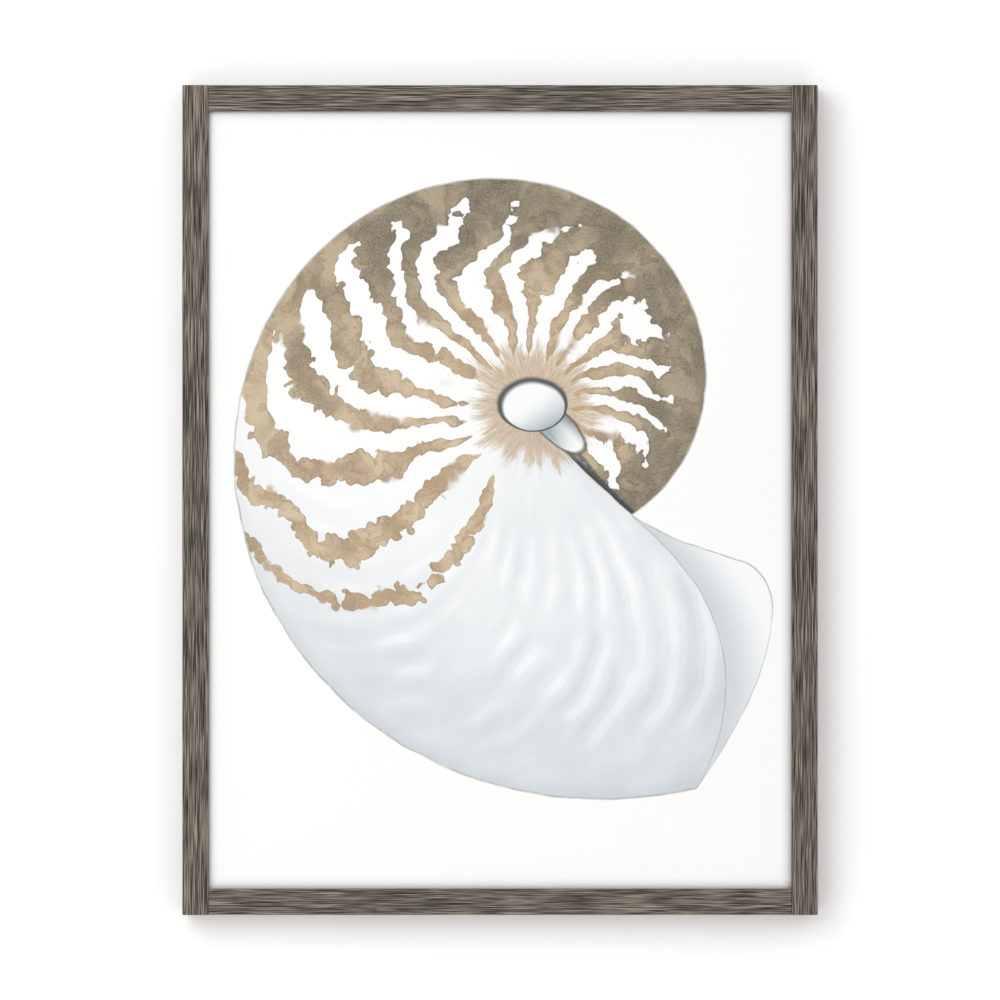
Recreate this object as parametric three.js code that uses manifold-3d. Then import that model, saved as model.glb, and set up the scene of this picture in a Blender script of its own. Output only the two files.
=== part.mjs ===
// A framed art print, ready to hang.
//
// Units are millimetres. +Z is up, the picture faces -Y and the wall is the plane y = 0. The origin is
// the point on the wall midway between the two nails that the sawtooth hangers sit on.
//
// Two full-height stiles hold a top and a bottom rail butted between them. All four share one rabbeted
// section. The rabbet carries the glazing, the picture sheet and a hardboard back, which steel tabs in
// the rabbet wall keep in place. A bent corner nail crosses each joint from behind.

import * as THREE from 'three';
import { mergeVertices } from 'three/addons/utils/BufferGeometryUtils.js';
import Module from 'manifold-3d';

const wasm = await Module();
wasm.setup();

// Driving dimensions

const openingWidth = 457.2; // the sight size: an 18 by 24 inch print
const openingHeight = 609.6;
const faceWidth = 20.5; // of a frame member, seen from the front
const frameDepth = 28.5;
const edgeRadius = 0.8; // eased front edges
const backEdgeRadius = 0.4;

const lipDepth = 3; // thickness of the lip in front of the rabbet
const rabbetWidth = 6; // how far the lip covers what it holds
const jointGap = 0.2; // hairline at each butt joint
const cutClearance = 0.3; // around anything that is let into the wood

const sheetPlay = 1.5; // room round the glazing, print and back, on each side
const sheetSpacing = 0.15; // between neighbouring sheets
const glazingThickness = 1.2;
const paperThickness = 0.5;
const boardThickness = 3;

const tabLength = 15;
const tabWidth = 5.6;
const tabThickness = 0.6;
const tabBite = 6; // how deep a tab goes into the wood
const tabPointLength = 3;
const tabsPerStile = 4;
const tabsPerRail = 3;

const nailHalfSpan = 3.6; // corner nail, from its apex to the end of a leg
const nailThickness = 0.8;
const nailLength = 10;

const hangerLength = 46;
const hangerHeight = 9;
const hangerThickness = 1;
const hangerRise = 1.5; // room behind the toothed bar for a nail's head
const hangerRaisedHalf = 13.5; // half-length of the raised bar
const hangerSlope = 2; // length of each bend down to the foot
const hangerCornerRadius = 2.5;
const hangerSpread = 320; // between the two hangers' centres
const toothPitch = 3;
const toothDepth = 1.5;
const toothCount = 8;

const pinRadius = 0.55;
const pinLength = 9;
const pinHeadRadius = 1.6;
const pinHeadHeight = 0.9;
const pinInset = 3.8; // from the end of the hanger
const pinSides = 16;

const bumperRadius = 5.5;
const bumperHeight = 3; // also the gap between the frame and the wall
const bumperFlatRadius = 3.8;
const bumperInset = 9; // from the bottom edge
const bumperSides = 32;

// Dimensions that follow

const outerWidth = openingWidth + 2 * faceWidth;
const outerHeight = openingHeight + 2 * faceWidth;
const bodyWidth = faceWidth - rabbetWidth; // wood beside the rabbet
const backPlane = -bumperHeight; // the frame's back
const frontPlane = backPlane - frameDepth;
const hangerCentre = outerHeight / 2 - bodyWidth / 2;
const nailLine = hangerCentre - hangerHeight / 2 + toothDepth; // height of the notches

// Materials

function finish(color, roughness, metalness = 0) {
  return new THREE.MeshStandardMaterial({ color, roughness, metalness });
}

const weatheredWood = () => finish(0x6b645a, 0.75);
const clearSheet = () => new THREE.MeshStandardMaterial({
  color: 0xf2f6f6,
  roughness: 0.05,
  metalness: 0,
  transparent: true,
  opacity: 0.25,
});
const whitePaper = () => finish(0xfbfaf8, 0.9);
const hardboard = () => finish(0x6e4b30, 0.8);
const zincSteel = () => finish(0xb4b6b8, 0.4, 1);
const brassPlate = () => finish(0xb9954f, 0.35, 1);
const darkRubber = () => finish(0x2b2b2c, 0.7);

// Solids: plain geometry in, joined or cut geometry out

function toSolid(geometry) {
  const bare = new THREE.BufferGeometry();
  bare.setAttribute('position', geometry.getAttribute('position').clone());
  bare.setIndex(geometry.getIndex());
  const welded = mergeVertices(bare, 1e-4);
  const mesh = new wasm.Mesh({
    numProp: 3,
    vertProperties: new Float32Array(welded.getAttribute('position').array),
    triVerts: new Uint32Array(welded.getIndex().array),
  });
  return new wasm.Manifold(mesh);
}

function toGeometry(solid) {
  const mesh = solid.getMesh();
  const geometry = new THREE.BufferGeometry();
  geometry.setAttribute('position', new THREE.BufferAttribute(mesh.vertProperties, 3));
  geometry.setIndex(new THREE.BufferAttribute(mesh.triVerts, 1));
  geometry.computeVertexNormals();
  return geometry;
}

function cutAway(geometry, tools) {
  let solid = toSolid(geometry);
  for (const tool of tools) {
    solid = solid.subtract(toSolid(tool));
  }
  return toGeometry(solid);
}

// A block given by its lowest and highest corners
function block(low, high) {
  const size = high.map((value, i) => value - low[i]);
  const centre = high.map((value, i) => (value + low[i]) / 2);
  return new THREE.BoxGeometry(...size).translate(...centre);
}

// A plate whose outline is drawn in x and z, and whose thickness runs from y = 0 to +Y
function plate(outline, thickness) {
  const geometry = new THREE.ExtrudeGeometry(outline, {
    depth: thickness,
    bevelEnabled: false,
    curveSegments: 6,
  });
  return geometry.rotateX(Math.PI / 2).translate(0, thickness, 0);
}

function named(name, geometry, material) {
  const mesh = new THREE.Mesh(geometry, material);
  mesh.name = name;
  return mesh;
}

// Frame members
//
// A member lies in a frame of its own: x runs inwards from its outer edge, y runs back from its face
// and z runs along it, with z = 0 at its middle.

function memberSection() {
  const r = edgeRadius;
  const b = backEdgeRadius;
  const section = new THREE.Shape();
  section.moveTo(0, r);
  section.absarc(r, r, r, Math.PI, 1.5 * Math.PI, false);
  section.absarc(faceWidth - r, r, r, 1.5 * Math.PI, 2 * Math.PI, false);
  section.lineTo(faceWidth, lipDepth);
  section.lineTo(bodyWidth, lipDepth);
  section.lineTo(bodyWidth, frameDepth);
  section.absarc(b, frameDepth - b, b, 0.5 * Math.PI, Math.PI, false);
  section.closePath();
  return section;
}

function memberBlank(length) {
  const geometry = new THREE.ExtrudeGeometry(memberSection(), {
    depth: length,
    bevelEnabled: false,
    curveSegments: 3,
  });
  return geometry.translate(0, 0, -length / 2);
}

// Where the lip of a rail would run into a stile, it stops short and the wood behind it goes on
function lipStops(railLength) {
  const lipHalf = openingWidth / 2 - jointGap;
  const endHalf = railLength / 2 + 1;
  return [-1, 1].map((side) => {
    const ends = [side * lipHalf, side * endHalf].sort((a, b) => a - b);
    return block([-1, -1, ends[0]], [faceWidth + 1, lipDepth, ends[1]]);
  });
}

// Evenly spread places along a member, clear of its ends
function spread(count, length) {
  return Array.from({ length: count }, (_, i) => ((i + 0.5) / count - 0.5) * length);
}

// Steel tabs: a flat strip with a point, pushed into the rabbet wall behind the back board

const stackDepth = lipDepth + glazingThickness + paperThickness + boardThickness + 3 * sheetSpacing;
const tabFront = stackDepth + sheetSpacing;

function tabOutline() {
  const start = bodyWidth - tabBite;
  const half = tabWidth / 2;
  const corner = 1;
  const outline = new THREE.Shape();
  outline.moveTo(start, 0);
  outline.lineTo(start + tabPointLength, -half);
  outline.lineTo(start + tabLength - corner, -half);
  outline.lineTo(start + tabLength, -half + corner);
  outline.lineTo(start + tabLength, half - corner);
  outline.lineTo(start + tabLength - corner, half);
  outline.lineTo(start + tabPointLength, half);
  outline.closePath();
  return outline;
}

function tabSlot(along) {
  const reach = tabBite + cutClearance;
  const half = tabWidth / 2 + cutClearance;
  const low = [bodyWidth - reach, tabFront - cutClearance, along - half];
  const high = [bodyWidth + 1, tabFront + tabThickness + cutClearance, along + half];
  return block(low, high);
}

function makeTab(name, along) {
  const tab = named(name, plate(tabOutline(), tabThickness), zincSteel());
  tab.position.set(0, tabFront, along);
  return tab;
}

// Corner nails: a strip bent to a right angle that straddles the joint, one leg in each member.
// The outline is drawn with the joint line along z and the apex towards -Z.

function cornerNailOutline(clearance) {
  const half = nailThickness / 2 + clearance;
  const legEnd = nailHalfSpan + clearance * Math.SQRT1_2;
  const apex = -nailHalfSpan / 2;
  const endHeight = apex + legEnd;
  const step = half * Math.SQRT1_2;
  const outline = new THREE.Shape();
  outline.moveTo(0, apex - half * Math.SQRT2);
  outline.lineTo(legEnd + step, endHeight - step);
  outline.lineTo(legEnd - step, endHeight + step);
  outline.lineTo(0, apex + half * Math.SQRT2);
  outline.lineTo(-legEnd + step, endHeight + step);
  outline.lineTo(-legEnd - step, endHeight - step);
  outline.closePath();
  return outline;
}

const nailAcross = outerWidth / 2 - bodyWidth; // the joint line, from the middle of the frame
const nailUp = outerHeight / 2 - bodyWidth / 2;

function placeAtCorner(geometry, side, end) {
  if (end > 0) {
    geometry.rotateY(Math.PI); // the apex towards the nearer outer edge
  }
  return geometry.translate(side * nailAcross, 0, end * nailUp);
}

// The hole for a corner nail, in the frame's own place
function cornerNailPocket(side, end) {
  const depth = nailLength + cutClearance;
  const hole = plate(cornerNailOutline(cutClearance), depth + 1);
  return placeAtCorner(hole, side, end).translate(0, backPlane - depth, 0);
}

function makeCornerNail(name, side, end) {
  const geometry = placeAtCorner(plate(cornerNailOutline(0), nailLength), side, end);
  const nail = named(name, geometry, zincSteel());
  nail.position.y = backPlane - nailLength;
  return nail;
}

// Sawtooth hangers: a bent strip, trimmed to an outline with teeth and two pin holes

function hangerStrip() {
  const end = hangerLength / 2;
  const rise = hangerRaisedHalf;
  const foot = hangerRaisedHalf + hangerSlope;
  const bend = 0.4; // keeps the wall's thickness through the bends
  const side = new THREE.Shape();
  side.moveTo(-end, 0);
  side.lineTo(-foot, 0);
  side.lineTo(-rise, hangerRise);
  side.lineTo(rise, hangerRise);
  side.lineTo(foot, 0);
  side.lineTo(end, 0);
  side.lineTo(end, hangerThickness);
  side.lineTo(foot + bend, hangerThickness);
  side.lineTo(rise + bend, hangerRise + hangerThickness);
  side.lineTo(-rise - bend, hangerRise + hangerThickness);
  side.lineTo(-foot - bend, hangerThickness);
  side.lineTo(-end, hangerThickness);
  side.closePath();
  const geometry = new THREE.ExtrudeGeometry(side, { depth: hangerHeight, bevelEnabled: false });
  return geometry.translate(0, 0, -hangerHeight / 2);
}

function hangerOutline() {
  const end = hangerLength / 2;
  const top = hangerHeight / 2;
  const r = hangerCornerRadius;
  const toothStart = -(toothCount * toothPitch) / 2;
  const outline = new THREE.Shape();
  outline.moveTo(-end + r, -top);
  for (let i = 0; i < toothCount; i += 1) {
    const x = toothStart + i * toothPitch;
    outline.lineTo(x, -top);
    outline.lineTo(x + toothPitch / 2, -top + toothDepth);
  }
  outline.lineTo(toothStart + toothCount * toothPitch, -top);
  outline.absarc(end - r, -top + r, r, -0.5 * Math.PI, 0, false);
  outline.absarc(end - r, top - r, r, 0, 0.5 * Math.PI, false);
  outline.absarc(-end + r, top - r, r, 0.5 * Math.PI, Math.PI, false);
  outline.absarc(-end + r, -top + r, r, Math.PI, 1.5 * Math.PI, false);
  for (const side of [-1, 1]) {
    const hole = new THREE.Path();
    hole.absarc(side * (end - pinInset), 0, pinRadius + cutClearance, 0, 2 * Math.PI, true);
    outline.holes.push(hole);
  }
  return outline;
}

function makeHanger(name, x) {
  const tall = hangerRise + hangerThickness + 2;
  const trim = plate(hangerOutline(), tall).translate(0, -1, 0);
  const solid = toSolid(hangerStrip()).intersect(toSolid(trim));
  const hanger = named(name, toGeometry(solid), brassPlate());
  hanger.position.set(x, backPlane, hangerCentre);
  return hanger;
}

// Hanger pins: round-headed, turned about y, with the head's underside at y = 0

function pinGeometry() {
  const profile = [
    new THREE.Vector2(0, -pinLength),
    new THREE.Vector2(pinRadius, -pinLength + 1.2),
    new THREE.Vector2(pinRadius, 0),
    new THREE.Vector2(pinHeadRadius, 0),
  ];
  const domeSteps = 4;
  for (let i = 1; i <= domeSteps; i += 1) {
    const angle = (i / domeSteps) * (Math.PI / 2);
    const radius = i === domeSteps ? 0 : pinHeadRadius * Math.cos(angle);
    profile.push(new THREE.Vector2(radius, pinHeadHeight * Math.sin(angle)));
  }
  return new THREE.LatheGeometry(profile, pinSides);
}

const pinSeat = backPlane + hangerThickness + 0.05; // just clear of the hanger's foot

function pinPlaces(hangerX) {
  const reach = hangerLength / 2 - pinInset;
  return [hangerX - reach, hangerX + reach];
}

function makePin(name, x) {
  const pin = named(name, pinGeometry(), brassPlate());
  pin.position.set(x, pinSeat, hangerCentre);
  return pin;
}

// The hole for a pin, in the frame's own place
function pinBore(x) {
  const bottom = pinSeat - pinLength - cutClearance;
  const top = backPlane + 1;
  const bore = new THREE.CylinderGeometry(
    pinRadius + cutClearance,
    pinRadius + cutClearance,
    top - bottom,
    pinSides,
  );
  return bore.translate(x, (top + bottom) / 2, hangerCentre);
}

// Rubber bumpers, turned about y, with a flat that meets the wall

function bumperGeometry() {
  const rim = bumperHeight * 0.35;
  const profile = [new THREE.Vector2(0, 0), new THREE.Vector2(bumperRadius, 0)];
  const steps = 6;
  for (let i = 0; i <= steps; i += 1) {
    const angle = (i / steps) * (Math.PI / 2);
    profile.push(new THREE.Vector2(
      bumperFlatRadius + (bumperRadius - bumperFlatRadius) * Math.cos(angle),
      rim + (bumperHeight - rim) * Math.sin(angle),
    ));
  }
  profile.push(new THREE.Vector2(0, bumperHeight));
  return new THREE.LatheGeometry(profile, bumperSides);
}

function makeBumper(name, side) {
  const bumper = named(name, bumperGeometry(), darkRubber());
  const x = side * (outerWidth / 2 - bodyWidth / 2);
  bumper.position.set(x, backPlane, -outerHeight / 2 + bumperInset);
  return bumper;
}

// The stack in the rabbet, front to back

function makeSheet(name, depthFromFace, thickness, material) {
  const width = openingWidth + 2 * (rabbetWidth - sheetPlay);
  const height = openingHeight + 2 * (rabbetWidth - sheetPlay);
  const sheet = named(name, new THREE.BoxGeometry(width, thickness, height), material);
  sheet.position.y = frontPlane + depthFromFace + thickness / 2;
  return sheet;
}

function makeStack() {
  const glazingDepth = lipDepth + sheetSpacing;
  const paperDepth = glazingDepth + glazingThickness + sheetSpacing;
  const boardDepth = paperDepth + paperThickness + sheetSpacing;
  return [
    makeSheet('glazing', glazingDepth, glazingThickness, clearSheet()),
    makeSheet('picture_sheet', paperDepth, paperThickness, whitePaper()),
    makeSheet('backing_board', boardDepth, boardThickness, hardboard()),
  ];
}

// Assembly

const hangers = { left: -hangerSpread / 2, right: hangerSpread / 2 };
const sideSign = { left: -1, right: 1 };
const endSign = { bottom: -1, top: 1 };

// One side of the frame with its tabs, turned about y so that its own x points inwards
function makeSide(side) {
  const group = new THREE.Group();
  group.rotation.y = side.turn;
  group.position.set(side.x, frontPlane, side.z);
  group.updateMatrixWorld();
  const toMember = group.matrixWorld.clone().invert();
  const places = spread(side.tabs, side.rabbetLength);
  const cuts = [
    ...places.map(tabSlot),
    ...side.stops,
    ...side.pockets.map((pocket) => pocket.applyMatrix4(toMember)),
  ];
  group.add(named(side.name, cutAway(memberBlank(side.length), cuts), weatheredWood()));
  places.forEach((along, i) => {
    group.add(makeTab(`tab_${side.label}_${i + 1}`, along));
  });
  return group;
}

function makeStile(label) {
  const sign = sideSign[label];
  return makeSide({
    name: `${label}_stile`,
    label,
    turn: sign > 0 ? Math.PI : 0,
    x: sign * (outerWidth / 2),
    z: 0,
    length: outerHeight,
    rabbetLength: openingHeight,
    tabs: tabsPerStile,
    stops: [],
    pockets: [cornerNailPocket(sign, -1), cornerNailPocket(sign, 1)],
  });
}

function makeRail(label) {
  const sign = endSign[label];
  const length = openingWidth + 2 * (rabbetWidth - jointGap);
  const bores = Object.values(hangers).flatMap(pinPlaces).map(pinBore);
  return makeSide({
    name: `${label}_rail`,
    label,
    turn: sign * (Math.PI / 2),
    x: 0,
    z: sign * (outerHeight / 2),
    length,
    rabbetLength: openingWidth,
    tabs: tabsPerRail,
    stops: lipStops(length),
    pockets: [
      cornerNailPocket(-1, sign),
      cornerNailPocket(1, sign),
      ...(label === 'top' ? bores : []),
    ],
  });
}

function makeHardware() {
  const pieces = [];
  for (const [label, side] of Object.entries(sideSign)) {
    for (const [endLabel, end] of Object.entries(endSign)) {
      pieces.push(makeCornerNail(`corner_nail_${endLabel}_${label}`, side, end));
    }
    pieces.push(makeHanger(`hanger_${label}`, hangers[label]));
    pinPlaces(hangers[label]).forEach((x, i) => {
      pieces.push(makePin(`hanger_${label}_pin_${i + 1}`, x));
    });
    pieces.push(makeBumper(`bumper_${label}`, side));
  }
  return pieces;
}

const framedPrint = new THREE.Group();
framedPrint.add(
  makeStile('left'),
  makeStile('right'),
  makeRail('top'),
  makeRail('bottom'),
  ...makeStack(),
  ...makeHardware(),
);
framedPrint.position.z = -nailLine; // brings the nails' line to the origin

export default framedPrint;
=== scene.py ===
import math
from types import SimpleNamespace

import bpy
import numpy as np
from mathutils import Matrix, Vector


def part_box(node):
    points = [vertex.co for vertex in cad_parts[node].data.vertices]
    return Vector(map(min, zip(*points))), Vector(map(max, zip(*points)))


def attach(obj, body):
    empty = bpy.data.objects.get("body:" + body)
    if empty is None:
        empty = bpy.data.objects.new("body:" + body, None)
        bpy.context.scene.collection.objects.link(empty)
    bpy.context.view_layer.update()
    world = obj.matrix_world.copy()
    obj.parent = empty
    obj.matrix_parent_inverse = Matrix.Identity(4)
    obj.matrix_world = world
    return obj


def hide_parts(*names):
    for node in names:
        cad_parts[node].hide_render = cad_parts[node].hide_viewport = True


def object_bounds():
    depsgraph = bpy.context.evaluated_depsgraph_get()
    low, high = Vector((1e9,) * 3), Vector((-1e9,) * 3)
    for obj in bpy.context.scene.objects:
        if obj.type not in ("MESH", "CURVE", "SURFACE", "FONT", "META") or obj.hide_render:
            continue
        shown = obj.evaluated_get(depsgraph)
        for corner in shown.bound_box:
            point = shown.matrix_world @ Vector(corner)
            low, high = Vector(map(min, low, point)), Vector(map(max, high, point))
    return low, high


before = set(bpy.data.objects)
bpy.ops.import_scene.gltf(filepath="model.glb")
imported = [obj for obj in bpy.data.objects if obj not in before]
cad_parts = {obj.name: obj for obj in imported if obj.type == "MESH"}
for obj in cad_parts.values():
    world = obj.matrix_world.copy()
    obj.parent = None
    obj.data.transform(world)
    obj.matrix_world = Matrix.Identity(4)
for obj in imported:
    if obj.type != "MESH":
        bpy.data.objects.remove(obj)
cadLow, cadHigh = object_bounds()  # the CAD model's box
print("frame loaded:", len(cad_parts), "nodes")

mm = 0.001

# Places and sizes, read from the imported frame
stileLow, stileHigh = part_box("left_stile")
_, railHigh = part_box("top_rail")
glassLow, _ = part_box("glazing")
paperLow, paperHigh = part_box("picture_sheet")
_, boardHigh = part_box("backing_board")

jointGap = 0.2 * mm  # hairline between a rail and a stile
sheetGap = 0.15 * mm  # between neighbouring sheets in the rabbet
outerHalf = (cadHigh.x - cadLow.x) / 2
faceWidth = stileHigh.x - stileLow.x
memberDepth = stileHigh.y - stileLow.y
frontY = stileLow.y
lipDepth = glassLow.y - frontY - sheetGap
tongueHalf = railHigh.x  # the rail's tongue, which runs in behind the stile's lip
bodyWidth = outerHalf - tongueHalf - jointGap
openingHalf = outerHalf - faceWidth
middleZ = (stileLow.z + stileHigh.z) / 2


def rgb(red, green, blue):  # screen colour, 0 to 255, as the linear colour that shaders take
    def straighten(value):
        value = value / 255
        return value / 12.92 if value <= 0.04045 else ((value + 0.055) / 1.055) ** 2.4
    return (straighten(red), straighten(green), straighten(blue), 1.0)


class Amount:
    # a number that changes over a surface: sums written with it become math nodes
    def __init__(self, tree, socket):
        self.tree = tree
        self.socket = socket

    def sum(self, how, *others):
        step = self.tree.nodes.new("ShaderNodeMath")
        step.operation = how
        for place, value in enumerate((self, *others)):
            feed(self.tree, step.inputs[place], value)
        return Amount(self.tree, step.outputs[0])

    def __add__(self, other):
        return self.sum("ADD", other)

    def __radd__(self, other):
        return self.sum("ADD", other)

    def __mul__(self, other):
        return self.sum("MULTIPLY", other)

    def __rmul__(self, other):
        return self.sum("MULTIPLY", other)

    def __sub__(self, other):
        return self.sum("SUBTRACT", other)

    def __rsub__(self, other):
        return (self * -1) + other

    def __truediv__(self, other):
        return self.sum("DIVIDE", other)


def feed(tree, inlet, value):  # a number, a colour, an Amount or a socket into a node's inlet
    if isinstance(value, Amount):
        tree.links.new(value.socket, inlet)
    elif isinstance(value, bpy.types.NodeSocket):
        tree.links.new(value, inlet)
    else:
        inlet.default_value = value


def ramped(amount, low, high, atLow=0.0, atHigh=1.0):  # eased step between two values
    step = amount.tree.nodes.new("ShaderNodeMapRange")
    step.interpolation_type = "SMOOTHSTEP"
    for place, value in enumerate((amount, low, high, atLow, atHigh)):
        feed(amount.tree, step.inputs[place], value)
    return Amount(amount.tree, step.outputs[0])


def sine(amount):
    return amount.sum("SINE")


def larger(one, other):
    return one.sum("MAXIMUM", other)


def smaller(one, other):
    return one.sum("MINIMUM", other)


def size(amount):
    return amount.sum("ABSOLUTE")


def point(tree, x, y, z=0.0):
    joined = tree.nodes.new("ShaderNodeCombineXYZ")
    for place, value in enumerate((x, y, z)):
        feed(tree, joined.inputs[place], value)
    return joined.outputs[0]


def parts(tree, vector):
    split = tree.nodes.new("ShaderNodeSeparateXYZ")
    tree.links.new(vector, split.inputs[0])
    return [Amount(tree, out) for out in split.outputs]


def cloud(tree, where, scale=1.0, detail=2.0, rough=0.5, drift=0.0):  # noise, about 0 to 1
    step = tree.nodes.new("ShaderNodeTexNoise")
    feed(tree, step.inputs["Vector"], where)
    feed(tree, step.inputs["Scale"], scale)
    feed(tree, step.inputs["Detail"], detail)
    feed(tree, step.inputs["Roughness"], rough)
    feed(tree, step.inputs["Distortion"], drift)
    return Amount(tree, step.outputs[0])


def lobes(tree, where, scale):  # distance to the nearest of many scattered points, 0 to about 1
    step = tree.nodes.new("ShaderNodeTexVoronoi")
    step.voronoi_dimensions = "2D"
    feed(tree, step.inputs["Vector"], where)
    feed(tree, step.inputs["Scale"], scale)
    return Amount(tree, step.outputs["Distance"])


def blended(tree, share, one, other):  # one where share is 0, other where it is 1
    step = tree.nodes.new("ShaderNodeMix")
    step.data_type = "RGBA"
    feed(tree, step.inputs[0], share)
    feed(tree, step.inputs[6], one)
    feed(tree, step.inputs[7], other)
    return step.outputs[2]


def bumped(tree, height, distance, strength):
    step = tree.nodes.new("ShaderNodeBump")
    feed(tree, step.inputs["Height"], height)
    feed(tree, step.inputs["Distance"], distance)
    feed(tree, step.inputs["Strength"], strength)
    return step.outputs[0]


def objectPoint(tree):
    return tree.nodes.new("ShaderNodeTexCoord").outputs["Object"]


def attribute(tree, name):
    step = tree.nodes.new("ShaderNodeAttribute")
    step.attribute_name = name
    return Amount(tree, step.outputs["Fac"])


def newFinish(name, **settings):  # a material with one Principled shader, its even values set
    finish = bpy.data.materials.new(name)
    finish.use_nodes = True
    shader = finish.node_tree.nodes["Principled BSDF"]
    for inlet, value in settings.items():
        shader.inputs[inlet.replace("_", " ")].default_value = value
    return finish, finish.node_tree, shader


def unevenness(u, v, seed):  # smooth noise, -1 to 1, over arrays u and v
    table = np.random.default_rng(seed).uniform(-1, 1, (256, 256))
    iu, iv = np.floor(u).astype(int), np.floor(v).astype(int)
    fu, fv = u - iu, v - iv
    fu, fv = fu * fu * (3 - 2 * fu), fv * fv * (3 - 2 * fv)
    iu, iv, ju, jv = iu % 256, iv % 256, (iu + 1) % 256, (iv + 1) % 256
    near = table[iu, iv] * (1 - fu) + table[ju, iv] * fu
    far = table[iu, jv] * (1 - fu) + table[ju, jv] * fu
    return near * (1 - fv) + far * fv


# a new piece in place of a CAD node; facing: which of the finishes each face has
def addPiece(name, vertices, faces, finishes, node, facing=None):
    mesh = bpy.data.meshes.new(name)
    mesh.from_pydata(vertices, [], faces)
    mesh.update()
    piece = bpy.data.objects.new(name, mesh)
    bpy.context.scene.collection.objects.link(piece)
    for finish in finishes:
        mesh.materials.append(finish)
    if facing is not None:
        mesh.polygons.foreach_set("material_index", facing)
    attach(piece, "root")
    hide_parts(node)
    return piece


def smoothed(piece, sharpFrom):  # shaded smooth but for edges sharper than this many degrees
    piece.data.shade_smooth()
    piece.data.set_sharp_from_angle(angle=math.radians(sharpFrom))


wood = {
    "acrossStep": 0.29 * mm,  # mesh spacing across the brushed lines
    "alongStep": 1.9 * mm,
    "hiddenStep": 3.0 * mm,  # in the rabbet
    "reliefDepth": 0.20 * mm,
    "outerRadius": 0.8 * mm,
    "sightRadius": 0.5 * mm,  # the edge beside the picture
    "backRadius": 0.4 * mm,
    "arcSteps": 5,
    "wear": 0.18 * mm,  # how far the eased edges are rubbed down in places
    "endEase": np.array([0.16, 0.05]) * mm,  # the ends' edges, at the end itself and one step in from it
    "patchScale": (11, 45),  # per metre along and across the grain, here and in the next three
    "swayScale": (24, 70),
    "lineScale": (21, 1650),
    "hairScale": (46, 2500),
    "sway": 1.2 * mm,  # how far the lines wander sideways
    "pith": (0.4, 0.06),  # from it to the frame's middle, across and back: the stiles show rings of one board
    "ringPitch": 1.9 * mm,
    "ringWander": 1.6 * mm,
    "darkLine": rgb(42, 36, 31),
    "midTone": rgb(106, 98, 88),
    "paleLine": rgb(152, 141, 130),
    "olivePatch": rgb(88, 84, 73),
    "brownPatch": rgb(98, 88, 80),
    "endGrain": rgb(78, 68, 57),
}


def sectionRuns():
    r, q, b = wood["outerRadius"], wood["sightRadius"], wood["backRadius"]
    face, body, lip, deep = faceWidth, bodyWidth, lipDepth, memberDepth
    fine, rare = wood["acrossStep"], wood["hiddenStep"]
    # straight runs: start, end, outward normal, mesh step, relief share, wear share
    return [
        ((0, lip), (0, r), (-1, 0), fine, 1, 0),
        ((r, r), (180, 270), r, 1, 1),  # arcs: centre, angles, radius, relief share, wear share
        ((r, 0), (face - q, 0), (0, -1), fine, 1, 0),
        ((face - q, q), (270, 360), q, 0.8, 0.4),
        ((face, q), (face, lip), (1, 0), fine, 0.6, 0),
        ((face, lip), (body, lip), (0, 1), rare, 0.3, 0),
        ((body, lip), (body, deep), (1, 0), rare / 2, 0.3, 0),
        ((body, deep), (b, deep), (0, 1), fine * 2, 0.45, 0),
        ((b, deep - b), (90, 180), b, 0.6, 0.4),
        ((0, deep - b), (0, lip), (-1, 0), fine * 1.4, 1, 0),
    ]


def sectionPoints():
    x, y, nx, ny, relief, worn, ledge = [], [], [], [], [], [], 0
    for run in sectionRuns():
        if len(run) == 6:
            start, end, normal, step, share, wear = run
            count = max(1, round(math.dist(start, end) / step))
            if start == (bodyWidth, lipDepth):
                ledge = len(x)
            for i in range(count):
                t = i / count
                x.append(start[0] + (end[0] - start[0]) * t)
                y.append(start[1] + (end[1] - start[1]) * t)
                nx.append(normal[0])
                ny.append(normal[1])
                relief.append(share)
                worn.append(wear)
        else:
            centre, angles, radius, share, wear = run
            for i in range(wood["arcSteps"]):
                t = i / wood["arcSteps"]
                angle = math.radians(angles[0] + (angles[1] - angles[0]) * t)
                x.append(centre[0] + radius * math.cos(angle))
                y.append(centre[1] + radius * math.sin(angle))
                nx.append(math.cos(angle))
                ny.append(math.sin(angle))
                relief.append(share)
                worn.append(wear * math.sin(math.pi * (t + 0.001)))
    return [np.array(values, float) for values in (x, y, nx, ny, relief, worn)] + [ledge]


def brushedRelief(across, along, seed):
    # 0 is deep in a line, 1 is the untouched face; lines wander a little and run with the grain
    s, l = across / mm, along / mm
    s = s + 0.9 * unevenness(l / 85, s / 24, seed) + 0.12 * unevenness(l / 16, s / 5, seed + 1)
    bands = unevenness(s / 3.4, l / 120, seed + 2)
    lines = unevenness(s / 0.75, l / 36, seed + 3)
    hairs = unevenness(s / 0.5, l / 18, seed + 4)
    pores = unevenness(s / 0.75, l / 11, seed + 5)
    level = 0.64 + 0.14 * bands + 0.26 * lines + 0.2 * hairs
    return np.clip(level - 0.6 * np.clip(pores - 0.38, 0, 1), 0, 1)


def railEnds(x, y, half, ledge, last, vertices, faces):
    # each end: a cap on the lip, then the tongue that runs on behind the stile's lip
    ends, body = [], [*range(ledge, len(x)), 0]
    for start, z, way in ((0, -half, -1), (last, half, 1)):
        lipCap = [start + i for i in range(ledge + 1)]
        ring = [start + i for i in body]
        tongue = [len(vertices) + i for i in range(len(body))]
        vertices += [(x[i], y[i], z) for i in body]
        ends += [lipCap[::way], tongue[::way]]
        for i in range(len(body)):
            k = (i + 1) % len(body)
            side = (ring[i], ring[k], tongue[k], tongue[i])
            faces.append(side[::way])
    return ends


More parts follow.
